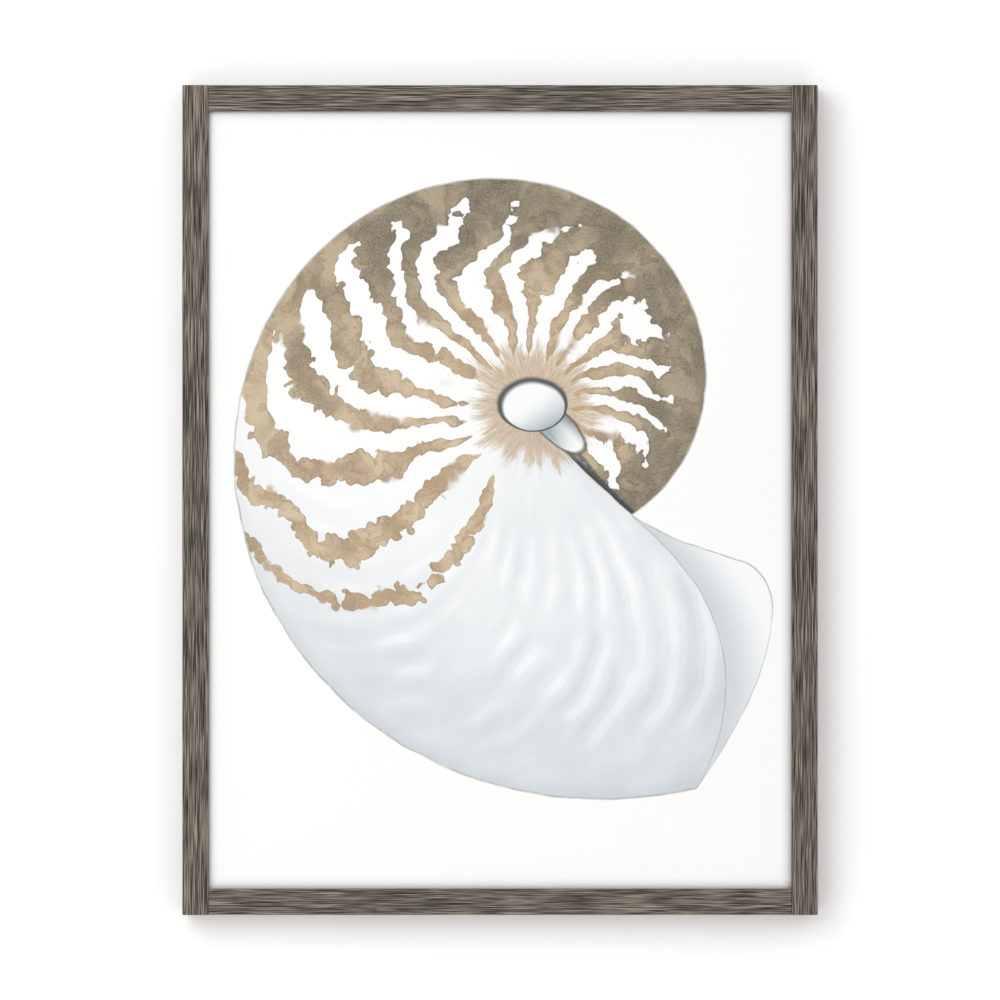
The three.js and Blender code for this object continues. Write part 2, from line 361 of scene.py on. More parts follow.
def memberMesh(half, lipHalf, seed):
    # half: half its length; lipHalf: half the length of its lip, shorter where the lip meets a stile
    x, y, nx, ny, relief, worn, ledge = sectionPoints()
    count = len(x)
    along = np.linspace(-lipHalf, lipHalf, round(2 * lipHalf / wood["alongStep"]) + 1)
    ease = wood["endEase"]
    along = np.concatenate([[along[0], along[0] + ease[1], along[0] + ease[0]], along[1:-1],
                            [along[-1] - ease[0], along[-1] - ease[1], along[-1]]])
    gap = np.hypot(np.diff(x, append=x[0]), np.diff(y, append=y[0]))
    across = np.concatenate([[0], np.cumsum(gap)[:-1]])
    grid = np.meshgrid(along, across, indexing="ij")
    level = brushedRelief(grid[1], grid[0], seed)
    rub = np.clip(0.4 + unevenness(grid[0] / (14 * mm), grid[1] / (2 * mm), seed + 6), 0, 1)
    sink = (1 - level) * relief * wood["reliefDepth"] + worn * rub * wood["wear"]
    inset = np.zeros_like(along)
    inset[[0, -1]], inset[[1, -2]] = ease[0], ease[1]
    hasTongue = lipHalf < half
    eased = np.ones(count)
    if hasTongue:  # behind the lip the wood runs on, so its end is neither eased nor brushed
        behindLip = [*range(ledge, count), 0]
        eased[behindLip] = 0
        for end in (0, -1):
            sink[end, behindLip] = 0
    sink = sink + inset[:, None] * eased
    px, py = x - nx * sink, y - ny * sink
    vertices = list(map(tuple, np.stack([px, py, grid[0]], axis=-1).reshape(-1, 3)))
    faces = []
    for j in range(len(along) - 1):
        row, after = j * count, (j + 1) * count
        for i in range(count):
            k = (i + 1) % count
            faces.append((row + i, row + k, after + k, after + i))
    last = (len(along) - 1) * count
    if hasTongue:
        ends = railEnds(x, y, half, ledge, last, vertices, faces)
    else:
        ends = [[*range(count)][::-1], [last + i for i in range(count)]]
    spare = np.zeros(len(vertices) - level.size)  # the tongues' points have no brushed lines
    level = np.concatenate([level.ravel(), spare + 0.6])
    rub = np.concatenate([(rub * worn).ravel(), spare])
    place = np.stack([np.concatenate([way.ravel(), spare]) for way in grid], axis=-1)
    return vertices, faces, ends, level, rub, place


# turn: how a member's own x (inwards), y (back) and z (along) lie in the frame
members = {
    "left_stile": {"turn": lambda p: (cadLow.x + p[0], frontY + p[1], middleZ + p[2]), "seed": 11},
    "right_stile": {"turn": lambda p: (cadHigh.x - p[0], frontY + p[1], middleZ - p[2]), "seed": 37},
    "top_rail": {"turn": lambda p: (p[2], frontY + p[1], stileHigh.z - p[0]), "seed": 59},
    "bottom_rail": {"turn": lambda p: (-p[2], frontY + p[1], stileLow.z + p[0]), "seed": 83},
}


def woodFinish():
    finish, tree, shader = newFinish("weathered wood", Roughness=0.78, Specular_IOR_Level=0.3)
    uv = tree.nodes.new("ShaderNodeUVMap")
    uv.uv_map = "Grain"
    along, across, _ = parts(tree, uv.outputs[0])
    level = attribute(tree, "level")
    rub = attribute(tree, "rub")

    def grain(key, sideways, detail, layer=0.0):
        perAlong, perAcross = wood[key]
        return cloud(tree, point(tree, along * perAlong, sideways * perAcross, layer), 1.0, detail)

    patches = grain("patchScale", across, 3.0)
    swayed = across + (grain("swayScale", across, 1.0) - 0.5) * wood["sway"]
    lines = grain("lineScale", swayed, 0.6)
    hairs = grain("hairScale", swayed, 0.0, 5.0)
    tone = ramped(patches, 0.36, 0.64)
    base = blended(tree, tone, wood["olivePatch"], wood["brownPatch"])
    depth = (lines - 0.5) * 2.9 + (hairs - 0.5) * 2.2 + (level - 0.6) * 0.5 + (patches - 0.5) * 0.4 + 0.5
    base = blended(tree, ramped(depth, 0.48, 0.0, 0, 0.95), base, wood["darkLine"])
    base = blended(tree, ramped(depth, 0.56, 1.05, 0, 0.95), base, wood["paleLine"])
    base = blended(tree, rub * 0.3, base, wood["paleLine"])
    feed(tree, shader.inputs["Base Color"], base)
    feed(tree, shader.inputs["Roughness"], ramped(depth, 0.0, 0.9, 0.9, 0.68))
    feed(tree, shader.inputs["Normal"], bumped(tree, lines + hairs * 0.6, 0.3 * mm, 0.8))
    return finish


def endGrainFinish():
    finish, tree, shader = newFinish("end grain", Roughness=0.9, Specular_IOR_Level=0.2)
    x, y, _ = parts(tree, objectPoint(tree))
    drift = cloud(tree, objectPoint(tree), 90.0, 3.0)
    x, y = x + wood["pith"][0], y + wood["pith"][1]
    radius = (x * x + y * y).sum("SQRT") + drift * wood["ringWander"]
    rings = sine(radius * (2 * math.pi / wood["ringPitch"])) * 0.5 + 0.5
    specks = cloud(tree, objectPoint(tree), 2600.0, 2.0)
    base = blended(tree, rings * 0.6 + (specks - 0.5) * 0.5, wood["endGrain"], wood["midTone"])
    base = blended(tree, ramped(specks, 0.6, 0.75, 0, 0.8), base, wood["darkLine"])
    feed(tree, shader.inputs["Base Color"], base)
    feed(tree, shader.inputs["Normal"], bumped(tree, rings * 0.4 + specks, 0.12 * mm, 0.7))
    return finish


def makeMembers():
    faceFinish, endFinish = woodFinish(), endGrainFinish()
    for name, member in members.items():
        low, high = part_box(name)
        isRail = name.endswith("rail")
        half = (high.x - low.x) / 2 if isRail else (high.z - low.z) / 2
        lipHalf = openingHalf - jointGap if isRail else half
        vertices, faces, ends, level, rub, place = memberMesh(half, lipHalf, member["seed"])
        vertices = [member["turn"](p) for p in vertices]
        facing = [0] * len(faces) + [1] * len(ends)
        piece = addPiece(name + "_wood", vertices, faces + ends, [faceFinish, endFinish],
                         name, facing)
        mesh = piece.data
        mesh.attributes.new("level", "FLOAT", "POINT").data.foreach_set("value", level)
        mesh.attributes.new("rub", "FLOAT", "POINT").data.foreach_set("value", rub)
        uv = mesh.uv_layers.new(name="Grain")
        corner = np.zeros(len(mesh.loops), int)
        mesh.loops.foreach_get("vertex_index", corner)
        place = place + np.array([member["seed"] * 0.9, member["seed"] * 0.13])
        uv.data.foreach_set("uv", place[corner].ravel())
        mesh.polygons.foreach_set("use_smooth", [True] * len(faces) + [False] * len(ends))
        mesh.set_sharp_from_angle(angle=math.radians(50))
        print("made", name, len(mesh.vertices), "points")


# A nautilus in side view, worked out from its growth spiral. Lengths are in mm from the sheet's
# middle, angles in turns, and "turn" runs from 0 at the oldest part to 1 at the mouth.
nautilus = {
    "heart": (26.0, 74.0),  # where the spiral starts
    "reach": 331.0,  # from there to the tip of the mouth
    "growth": 3.0,  # times larger with each turn
    "mouthAngle": -62 / 360,
    "mouthBulge": 0.20,
    "farLip": 0.046,  # how far the far lip shows past the near one, at its widest
    "sweep": 0.16,  # how strongly the growth lines bend: forwards near the heart, then back
    "chamberFrom": 0.70,  # the growth line where the pale wash sets in
    "folds": 290.0,
    "stripes": 22,
    "stripesEnd": 0.84,  # the growth line where they give out
    "haloReach": (23.0, 56.0),  # its least, and how much longer it may be
    "haloStrokes": ((34, 0.4), (64, 0.5)),  # fineness and strength, the broad strokes first
    "callus": (26.0, 20.0),
    "hollowAt": (17.0, -15.0),  # from the heart
    "hollow": (30.0, 12.0),
    "hollowLean": (0.74, -0.67),
    "paper": rgb(246, 246, 246),
    "warmPaper": rgb(249, 248, 246),
    "olive": rgb(126, 113, 88),
    "deepOlive": rgb(92, 79, 56),
    "ochre": rgb(186, 154, 108),
    "brown": rgb(146, 112, 66),
    "sand": rgb(211, 194, 164),
    "mist": rgb(243, 245, 246),
    "cloudGrey": rgb(196, 203, 209),
    "slate": rgb(47, 54, 61),
    "halo": rgb(176, 146, 104),
    "callusGrey": rgb(150, 163, 170),
    "pencil": rgb(118, 110, 100),
}


def shellPlaces(tree):  # where each spot of the sheet lies on the shell
    n, s = nautilus, SimpleNamespace()
    x, _, z = parts(tree, objectPoint(tree))
    x, s.height = x / mm, (z - middleZ) / mm
    s.flat = point(tree, x, s.height)
    wobble = cloud(tree, s.flat, 1 / 26, 2.0) - 0.5
    s.tremble = cloud(tree, s.flat, 1 / 5, 3.0) - 0.5
    s.wash = cloud(tree, s.flat, 1 / 42, 3.0) - 0.5
    s.dx = x - n["heart"][0] + wobble * 3.0
    s.dz = s.height - n["heart"][1] + wobble * 2.0
    s.r = (s.dx * s.dx + s.dz * s.dz).sum("SQRT")
    angle = s.dz.sum("ARCTAN2", s.dx) / (2 * math.pi)
    s.rho = s.r / n["reach"]
    bulge = s.rho * (0.92 - s.rho) * n["mouthBulge"]
    s.sinceMouth = (angle - n["mouthAngle"] - bulge).sum("FRACT")
    s.turn = s.sinceMouth + bulge
    edge = (s.turn - 1).sum("MULTIPLY", math.log(n["growth"])).sum("EXPONENT") * n["reach"]
    s.w = s.r / edge  # 0 at the heart, 1 at the outer edge
    s.toEdge = edge - s.r
    s.inside = ramped(s.toEdge + s.tremble * 0.9, 0.0, 0.7)
    s.growthLine = s.turn + s.w * (s.w - 0.5) * n["sweep"]
    s.older = ramped(s.growthLine, n["stripesEnd"], n["stripesEnd"] - 0.32)
    s.lipSpan = ramped(s.rho, 0.32, 0.78) * ramped(s.rho, 1.0, 0.62) * n["farLip"]
    s.pastOld = ramped(s.toEdge, 0.0, -0.8)  # clear of the old turn
    s.shortOfTip = ramped(s.rho, 0.985, 0.975)
    return s


def farLipWash(tree, s, colour):  # the far lip of the mouth, seen past the near one
    inLip = ramped(s.sinceMouth - s.lipSpan, 0.0006, -0.0006) * s.pastOld * s.shortOfTip
    tone = blended(tree, ramped(s.sinceMouth, 0.03, 0.0), nautilus["mist"], nautilus["cloudGrey"])
    return blended(tree, inLip * 0.85, colour, tone)


def chamberWash(tree, s, colour):  # the pale living chamber, with soft folds along the growth lines
    n, flat, w = nautilus, s.flat, s.w
    chamber = ramped(s.growthLine, n["chamberFrom"], n["chamberFrom"] + 0.22) * s.inside
    swell = cloud(tree, flat, 1 / 70, 1.0) - 0.5
    crease = sine(s.growthLine * n["folds"] + swell * 6)
    folded = ramped(w, 0.28, 0.45) * ramped(w, 0.98, 0.78)
    folded = folded * ramped(cloud(tree, flat, 1 / 60, 1.0), 0.36, 0.6)
    folds = (ramped(crease, -0.2, -1.0) * 0.20 - ramped(crease, 0.2, 1.0) * 0.30) * folded
    brushed = cloud(tree, point(tree, s.growthLine * 60, w * 4), 1.0, 3.0) - 0.5
    shade = ramped(w, 0.45, 1.0, 0.26, 0.72) + folds + s.wash * 0.42 + brushed * 0.34
    shade = shade + ramped(s.sinceMouth, 0.97, 1.0, 0, 0.18) + ramped(s.toEdge, 14, 0, 0, 0.22)
    shade = shade + ramped(s.toEdge, 1.8, 0.4, 0, 0.25) + (cloud(tree, flat, 1.0, 2.0) - 0.5) * 0.16
    return blended(tree, chamber * 0.95, colour, blended(tree, shade, n["mist"], n["cloudGrey"]))


def stripeDepth(tree, s):  # how far inside a flame stripe, in mm or nearly; less than 0 between two
    flat, w, growthLine = s.flat, s.w, s.growthLine
    count, end = nautilus["stripes"], nautilus["stripesEnd"]
    drift = cloud(tree, point(tree, s.turn * 9, w * 2.2), 1.0, 2.0) - 0.5
    ragged = cloud(tree, flat, 1 / 11, 1.0) - 0.5
    scallops = 0.42 - lobes(tree, flat, 1 / 9.5)
    toothed = ramped(cloud(tree, flat, 1 / 30, 2.0), 0.35, 0.65)  # teeth in some places, fine ones elsewhere
    uneven = cloud(tree, flat, 1 / 16, 2.0)
    teeth = (w * 30 + uneven * 6 + growthLine * 20).sum("PINGPONG", 1.0) - 0.5
    fineTeeth = (w * 66 - uneven * 10 + growthLine * 50).sum("PINGPONG", 1.0) - 0.5
    jags = (teeth * 0.40 * toothed + fineTeeth * 0.10 * (1 - toothed)) * ramped(uneven, 0.3, 0.6, 0.4, 1)
    wave = sine((growthLine * count + drift * 2.6) * (2 * math.pi)) * 0.5 + 0.5
    wave = wave + jags * ramped(w, 0.1, 0.3) + ragged * 0.45 + scallops * ramped(w, 0.1, 0.4) * 0.55
    # cover: how much of the shell the stripes take up, most on the old part's outer half
    solid = ramped(growthLine, 0.66, 0.36)
    cover = 0.38 + solid * ramped(w, 0.66, 0.97) * 0.95 + s.older * ramped(w, 0.30, 0.75) * 0.20
    cover = cover - ramped(growthLine + ragged * 0.02, end, end + 0.035) * 1.6
    cover = cover - ramped(w, 0.28, 0.14) * 0.9
    cover = cover - ramped(growthLine, end - 0.14, end) * ramped(w, 0.70, 0.95) * 0.22
    cover = cover + (cloud(tree, flat, 1 / 55, 2.0) - 0.5) * 0.6
    band = ramped(w, 0.90, 0.975) * ramped(growthLine, end - 0.02, end - 0.18)
    return (wave + cover - 1 + band) * s.r * (2 / count)


def flameStripes(tree, s, colour):
    n, flat = nautilus, s.flat
    within = stripeDepth(tree, s)
    softEdge = ramped(cloud(tree, flat, 1 / 38, 1.0), 0.58, 0.66, 0.35, 3.2)
    s.stripe = ramped(within, softEdge * -1, softEdge) * s.inside
    age = s.older * ramped(s.w, 0.30, 0.88)
    puddle = cloud(tree, flat, 1 / 34, 4.0, 0.6, 0.6)
    pigment = blended(tree, age + (puddle - 0.5) * 1.7 + 0.06, n["ochre"], n["olive"])
    pigment = blended(tree, ramped(puddle, 0.60, 0.40, 0, 0.6) * (1 - age * 0.6), pigment, n["sand"])
    deep = ramped(cloud(tree, flat, 1 / 52, 3.0), 0.46, 0.66, 0, 0.6) * age
    pigment = blended(tree, deep, pigment, n["deepOlive"])
    # later washes laid over dry ones end in a hard edge, and pigment gathers along it
    washes = cloud(tree, flat, 1 / 24, 3.0, 0.55, 0.5)
    overlaid = ramped(washes, 0.520, 0.528) * ramped(washes, 0.70, 0.56, 0.3, 1.0)
    pooled = ramped(cloud(tree, flat, 1 / 22, 1.0), 0.40, 0.62, 0.25, 1.0) * ramped(softEdge, 1.2, 0.4)
    gathered = ramped(within, 2.0, 0.5) * pooled * 1.7 + ramped(size(washes - 0.527), 0.016, 0.0)
    gathered = smaller(gathered * 0.44 + ramped(within, 3.4, 0.4) * 0.12, 0.8)
    darker = blended(tree, age, n["brown"], n["deepOlive"])
    pigment = blended(tree, overlaid * 0.34, pigment, darker)
    pigment = blended(tree, gathered, pigment, darker)
    grain = cloud(tree, flat, 1 / 1.6, 2.0)
    density = 0.88 + (grain - 0.5) * 0.36 + age * 0.08
    return blended(tree, s.stripe * density, colour, pigment)


def mouthFilm(tree, s, colour):  # dark film on the old turn, just inside the mouth
    behind = s.sinceMouth * s.r * (2 * math.pi) + s.tremble * 3  # mm back from the near lip
    film = ramped(behind - ramped(s.w, 0.15, 1.0, 10, 3), 0.7, -0.7, 0, 0.62)
    film = film + ramped(behind, 8.0, 0.0, 0, 0.38)
    return blended(tree, film * ramped(s.w, 0.12, 0.22) * s.inside, colour, nautilus["slate"])


def heartHalo(tree, s, colour):  # a soft wash round the heart, and short dry strokes over it
    n = nautilus
    outX, outZ = s.dx / s.r, s.dz / s.r
    least, more = n["haloReach"]
    length = cloud(tree, point(tree, outX * 3, outZ * 3), 1.0, 2.0) * more + least
    reached = ramped(s.r - length, 8, -18)
    ends = ramped(reached, 0.0, 0.2)
    fuzz = cloud(tree, point(tree, outX * 20, outZ * 20, s.r * 0.09), 1.0, 3.0, 0.65) - 0.5
    halo = ramped(reached + fuzz * 0.9, 0.25, 0.95) * ends
    warm = blended(tree, ramped(s.r + fuzz * 30, 30, 48), n["ochre"], n["sand"])
    colour = blended(tree, halo * s.inside * 0.6, colour, warm)
    for fineness, strength in n["haloStrokes"]:
        stroke = cloud(tree, point(tree, outX * fineness, outZ * fineness, s.r * 0.10), 1.0, 2.0, 0.6)
        tip = ramped(reached + (stroke - 0.5) * 3.0, 0.35, 0.95) * ends * ramped(stroke, 0.42, 0.62)
        colour = blended(tree, tip * s.inside * strength, colour, n["halo"])
    return colour


def ovalPlace(x, z, halves):  # 1 on the oval, less inside it
    a, b = halves
    return ((x / a) * (x / a) + (z / b) * (z / b)).sum("SQRT")


def callusAndHollow(tree, s, colour):  # the hollow leads from the callus to the mouth
    n = nautilus
    x, z = s.dx - n["hollowAt"][0], s.dz - n["hollowAt"][1]
    leanX, leanZ = n["hollowLean"]
    alongIt, acrossIt = x * leanX + z * leanZ, x * -leanZ + z * leanX
    hollow = ovalPlace(alongIt, acrossIt, n["hollow"])
    tone = blended(tree, ramped(alongIt + acrossIt * 0.8, -12, 24), n["callusGrey"], n["mist"])
    tone = blended(tree, ramped(acrossIt, 1, 12, 0, 0.75), tone, n["slate"])
    colour = blended(tree, ramped(hollow, 1.03, 0.97) * 0.96, colour, tone)
    colour = blended(tree, ramped(size(hollow - 1), 0.10, 0.02) * 0.7, colour, n["slate"])
    callus = ovalPlace(s.dx, s.dz, n["callus"])
    tone = blended(tree, ramped(s.dx * 0.7 - s.dz + s.wash * 20, -6, 34), n["mist"], n["callusGrey"])
    colour = blended(tree, ramped(callus, 1.02, 0.97), colour, tone)
    darkRim = ramped(size(callus - 1), ramped(s.dz - s.dx * 0.3, -20, 20, 0.035, 0.2), 0.02)
    return blended(tree, darkRim * 0.92, colour, n["slate"])


def pencilLines(tree, s, colour):
    perTurn = s.r * (2 * math.pi)  # mm in a turn, here
    outline = ramped(size(s.toEdge), 1.0, 0.3) * ramped(s.w, 0.5, 0.6)
    outline = outline * ramped(s.rho, 1.02, 1.0) * (1 - s.stripe * 0.85)
    nearLip = ramped((1 - s.sinceMouth) * perTurn, 1.1, 0.4) * ramped(s.toEdge, -0.5, 0.5)
    nearLip = nearLip * ramped(s.rho, 0.05, 0.08)
    farLip = ramped(size(s.sinceMouth - s.lipSpan) * perTurn, 0.9, 0.35) * s.pastOld
    farLip = farLip * ramped(s.lipSpan, 0.0, 0.006) * s.shortOfTip
    firm = ramped(cloud(tree, s.flat, 1 / 18, 3.0), 0.3, 0.6, 0.45, 0.85)
    line = larger(larger(outline, nearLip), farLip) * firm
    return blended(tree, line * 0.7, colour, nautilus["pencil"])


def paintedShell(tree):
    s = shellPlaces(tree)
    colour = blended(tree, ramped(s.height, 120, -320, 0, 0.6), nautilus["paper"], nautilus["warmPaper"])
    for layer in (farLipWash, chamberWash, flameStripes, mouthFilm, heartHalo, callusAndHollow, pencilLines):
        colour = layer(tree, s, colour)
    return colour, s.flat


def pictureFinish():
    finish, tree, shader = newFinish("watercolour paper", Roughness=0.88, Specular_IOR_Level=0.25)
    colour, flat = paintedShell(tree)
    tooth = cloud(tree, flat, 1 / 1.1, 3.0, 0.6) + cloud(tree, flat, 1 / 3.4, 2.0)
    feed(tree, shader.inputs["Base Color"], colour)
    feed(tree, shader.inputs["Normal"], bumped(tree, tooth, 0.10 * mm, 0.35))
    return finish


sheet = {
    "columns": 36,
    "rows": 48,
    "cockle": 0.05 * mm,  # painted paper goes very slightly wavy
}


def sheetFront(low, high):
    columns, rows = sheet["columns"], sheet["rows"]
    vertices, faces, spots, width = [], [], [], columns + 1
    for j in range(rows + 1):
        for i in range(width):
            u, v = i / columns, j / rows
            wave = float(unevenness(np.array(u * 3.1 + 0.4), np.array(v * 4.3), 5))
            vertices.append((low.x + (high.x - low.x) * u, low.y + sheet["cockle"] * (0.5 + 0.5 * wave),
                             low.z + (high.z - low.z) * v))
    for j in range(rows):
        for i in range(columns):
            k = j * width + i
            faces.append((k, k + 1, k + 1 + width, k + width))
            spots.append([(n % width / columns, 0.04 + 0.96 * (n // width) / rows) for n in faces[-1]])
    rim = ([*range(width)] + [j * width + columns for j in range(1, rows + 1)]
           + [rows * width + i for i in range(columns - 1, -1, -1)]
           + [j * width for j in range(rows - 1, 0, -1)])
    return vertices, faces, spots, rim


def makePicture():
    # spots: in the flat layout the front takes all but a strip below it, which the edge and back share
    low, high = paperLow, paperHigh
    vertices, faces, spots, rim = sheetFront(low, high)
    frontCount, first = len(faces), len(vertices)
    for k in rim:
        x, _, z = vertices[k]
        vertices.append((x, high.y, z))
    for n in range(len(rim)):
        m = (n + 1) % len(rim)
        faces.append((rim[m], rim[n], first + n, first + m))
        left, right = 0.5 + 0.5 * n / len(rim), 0.5 + 0.5 * (n + 1) / len(rim)
        spots.append([(right, 0.01), (left, 0.01), (left, 0.02), (right, 0.02)])
    faces.append([first + n for n in range(len(rim))][::-1])
    spots.append([((vertices[k][0] - low.x) / (high.x - low.x) * 0.48,
                   0.004 + (vertices[k][2] - low.z) / (high.z - low.z) * 0.03) for k in faces[-1]])
    piece = addPiece("picture_on_paper", vertices, faces, [pictureFinish()], "picture_sheet")
    uv = piece.data.uv_layers.new(name="OFBake")
    uv.data.foreach_set("uv", [value for spot in spots for pair in spot for value in pair])
    flatCount = len(faces) - frontCount
    piece.data.polygons.foreach_set("use_smooth", [True] * frontCount + [False] * flatCount)
    print("made the picture on its sheet")


glass = {
    "clear": (0.985, 0.995, 0.992, 1.0),
    "roughness": 0.02,
    "bend": 1.49,
    "shine": 0.3,  # low, as on picture glass that is treated against reflections
    "easedEdge": 0.2 * mm,
}


def dressCad(node, finish, easing):  # a CAD piece as it is, with its finish on and its edges softened
    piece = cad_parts[node]
    for slot in piece.material_slots:
        slot.material = finish
    bevel = piece.modifiers.new("eased edges", "BEVEL")
    bevel.width = easing
    bevel.segments = 2
    bevel.limit_method = "ANGLE"
    bevel.angle_limit = math.radians(30)


def makeGlazing():
    finish, tree, shader = newFinish("picture glass", Base_Color=glass["clear"],
                                     Roughness=glass["roughness"], IOR=glass["bend"],
                                     Specular_IOR_Level=glass["shine"], Transmission_Weight=1.0)
    ripple = cloud(tree, objectPoint(tree), 9.0, 1.0)
    feed(tree, shader.inputs["Normal"], bumped(tree, ripple, 0.12 * mm, 0.3))
    # lamps and soft light reach the picture straight through it; only the eye meets the glass
    clear = tree.nodes.new("ShaderNodeBsdfTransparent")
    ray = tree.nodes.new("ShaderNodeLightPath")
    mixer = tree.nodes.new("ShaderNodeMixShader")
    tree.links.new(ray.outputs["Is Camera Ray"], mixer.inputs[0])
    tree.links.new(clear.outputs[0], mixer.inputs[1])
    tree.links.new(shader.outputs[0], mixer.inputs[2])
    tree.links.new(mixer.outputs[0], tree.nodes["Material Output"].inputs[0])
    dressCad("glazing", finish, glass["easedEdge"])
    print("made the glazing")


hardboard = {
    "fibre": rgb(118, 88, 62),
    "darkFibre": rgb(82, 58, 40),
    "paleFibre": rgb(150, 118, 87),
    "easedEdge": 0.35 * mm,
    "screenPitch": 1.6 * mm,  # the pattern that the press screen leaves on the back
}


def makeBack():
    finish, tree, shader = newFinish("hardboard", Roughness=0.85, Specular_IOR_Level=0.25)
    x, y, z = parts(tree, objectPoint(tree))
    fine = cloud(tree, objectPoint(tree), 1900.0, 3.0, 0.6)
    strands = cloud(tree, point(tree, x, y * 4.0, z * 5.0), 420.0, 3.0, 0.6)
    mottle = cloud(tree, objectPoint(tree), 11.0, 3.0)
    scuffs = ramped(cloud(tree, point(tree, x * 2.5, y, z), 26.0, 4.0, 0.7), 0.60, 0.72)
    tone = (fine - 0.5) * 1.2 + (strands - 0.5) * 1.6 + (mottle - 0.5) * 0.4 + 0.5
    base = blended(tree, ramped(tone, 0.15, 0.55), hardboard["darkFibre"], hardboard["fibre"])
    base = blended(tree, ramped(tone, 0.55, 1.1), base, hardboard["paleFibre"])
    base = blended(tree, scuffs * 0.25, base, hardboard["paleFibre"])
    across = sine((x + z) * (2 * math.pi / hardboard["screenPitch"]))
    down = sine((x - z) * (2 * math.pi / hardboard["screenPitch"]))
    screen = across * down * ramped(y, boardHigh.y - 0.6 * mm, boardHigh.y - 0.3 * mm)
    feed(tree, shader.inputs["Base Color"], base)
    feed(tree, shader.inputs["Roughness"], ramped(tone, 0.2, 0.9, 0.92, 0.7))
    feed(tree, shader.inputs["Normal"], bumped(tree, screen * 0.5 + fine * 0.8, 0.12 * mm, 0.6))
    dressCad("backing_board", finish, hardboard["easedEdge"])
    print("made the backing board")


steel = {
    "zinc": (0.60, 0.61, 0.63, 1.0),
    "dull": (0.36, 0.37, 0.38, 1.0),
    "nailEasing": 0.1 * mm,
    "tabThickness": 0.42 * mm,
    "tabSpring": 0.072 * mm,  # how far it is sprung out of flat, each way
    "tabRows": 50,
    "tabColumns": (-1, -0.93, -0.6, -0.2, 0.2, 0.6, 0.93, 1),  # shares of half its width
    "tabPoint": 3.0 * mm,  # the length that tapers, where it enters the wood
    "tabCorner": 1.0 * mm,  # clipped off at the free end
    "tabRidge": 0.05 * mm,  # a pressed rib along the middle
    "tabRidgeFrom": 4.0 * mm,
    "tabRidgeShort": 2.0 * mm,  # of the free end
    "tabBurr": 0.05 * mm,  # the cut edges are this much thinner, each side
}


def steelFinish():
    finish, tree, shader = newFinish("zinc plated steel", Metallic=1.0, Specular_IOR_Level=0.5)
    where = objectPoint(tree)
    spangle = cloud(tree, where, 500.0, 2.0, 0.6, 1.5)
    rolled = cloud(tree, where, 3200.0, 2.0)
    worn = ramped(spangle + (rolled - 0.5) * 0.5, 0.35, 0.7)
    feed(tree, shader.inputs["Base Color"], blended(tree, worn, steel["dull"], steel["zinc"]))
    feed(tree, shader.inputs["Roughness"], ramped(worn, 0.0, 1.0, 0.55, 0.32))
    feed(tree, shader.inputs["Normal"], bumped(tree, rolled, 0.03 * mm, 0.5))
    return finish


def tabHalfWidth(t, length, half):  # t: how far along from the point
    point, corner = steel["tabPoint"], steel["tabCorner"]
    if t < point:
        return half * max(t / point, 0.04)
    if t > length - corner:
        return half - (t - length + corner) * 0.9
    return half


def tabPoints(low, high, side, number):
    upright = side in ("top", "bottom")  # these point up or down
    length = high.z - low.z if upright else high.x - low.x
    half = ((high.x - low.x) if upright else (high.z - low.z)) / 2
    middle = (high.x + low.x) / 2 if upright else (high.z + low.z) / 2
    start = {"left": low.x, "right": high.x, "top": high.z, "bottom": low.z}[side]
    way = 1 if side in ("left", "bottom") else -1
    points = []
    for face in (-1, 1):
        for row in range(steel["tabRows"] + 1):
            t = row * length / steel["tabRows"]
            wide = tabHalfWidth(t, length, half)
            bend = math.sin(t / length * math.pi * 1.6 + number * 0.7) * steel["tabSpring"]
            ribbed = steel["tabRidgeFrom"] < t < length - steel["tabRidgeShort"]
            for share in steel["tabColumns"]:
                ridge = (1 - (share / 0.5) ** 2) * steel["tabRidge"] if ribbed and abs(share) < 0.5 else 0
                burr = steel["tabBurr"] if abs(share) == 1 else 0
                y = (low.y + high.y) / 2 + bend + face * (steel["tabThickness"] / 2 - burr) + ridge
                a, b = start + way * t, middle + share * wide
                points.append((b, y, a) if upright else (a, y, b))
    return points, upright == (way > 0)  # the second: whether its faces would look inwards


def tabFaces(flipped):
    n, m = len(steel["tabColumns"]), steel["tabRows"] + 1
    layer, faces = n * m, []
    for i in range(m - 1):
        for j in range(n - 1):
            k = i * n + j
            faces.append((k, k + 1, k + n + 1, k + n))
            faces.append((layer + k, layer + k + n, layer + k + n + 1, layer + k + 1))
    rim = ([*range(n)] + [i * n + n - 1 for i in range(1, m)]
           + [(m - 1) * n + j for j in range(n - 2, -1, -1)] + [i * n for i in range(m - 2, 0, -1)])
    for i, k in enumerate(rim):
        after = rim[(i + 1) % len(rim)]
        faces.append((after, k, layer + k, layer + after))
    return [face[::-1] for face in faces] if flipped else faces


def makeTabs():
    finish = steelFinish()
    names = [f"tab_{side}_{n + 1}" for side, count in
             (("left", 4), ("right", 4), ("top", 3), ("bottom", 3)) for n in range(count)]
    for number, name in enumerate(names):
        low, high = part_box(name)
        points, flipped = tabPoints(low, high, name.split("_")[1], number)
        smoothed(addPiece(name + "_strip", points, tabFaces(flipped), [finish], name), 35)
    for corner in ("top_left", "top_right", "bottom_left", "bottom_right"):
        dressCad("corner_nail_" + corner, finish, steel["nailEasing"])
    print("made", len(names), "tabs and 4 corner nails")


brass = {
    "bright": (0.78, 0.56, 0.27, 1.0),
    "tarnished": (0.42, 0.28, 0.13, 1.0),
    "easedEdge": 0.16 * mm,
    "pin": {"radius": 0.55 * mm, "pointLength": 1.2 * mm, "headRadius": 1.6 * mm, "headHeight": 0.9 * mm,
            "headRim": 0.06 * mm, "sides": 32, "domeSteps": 9},
}


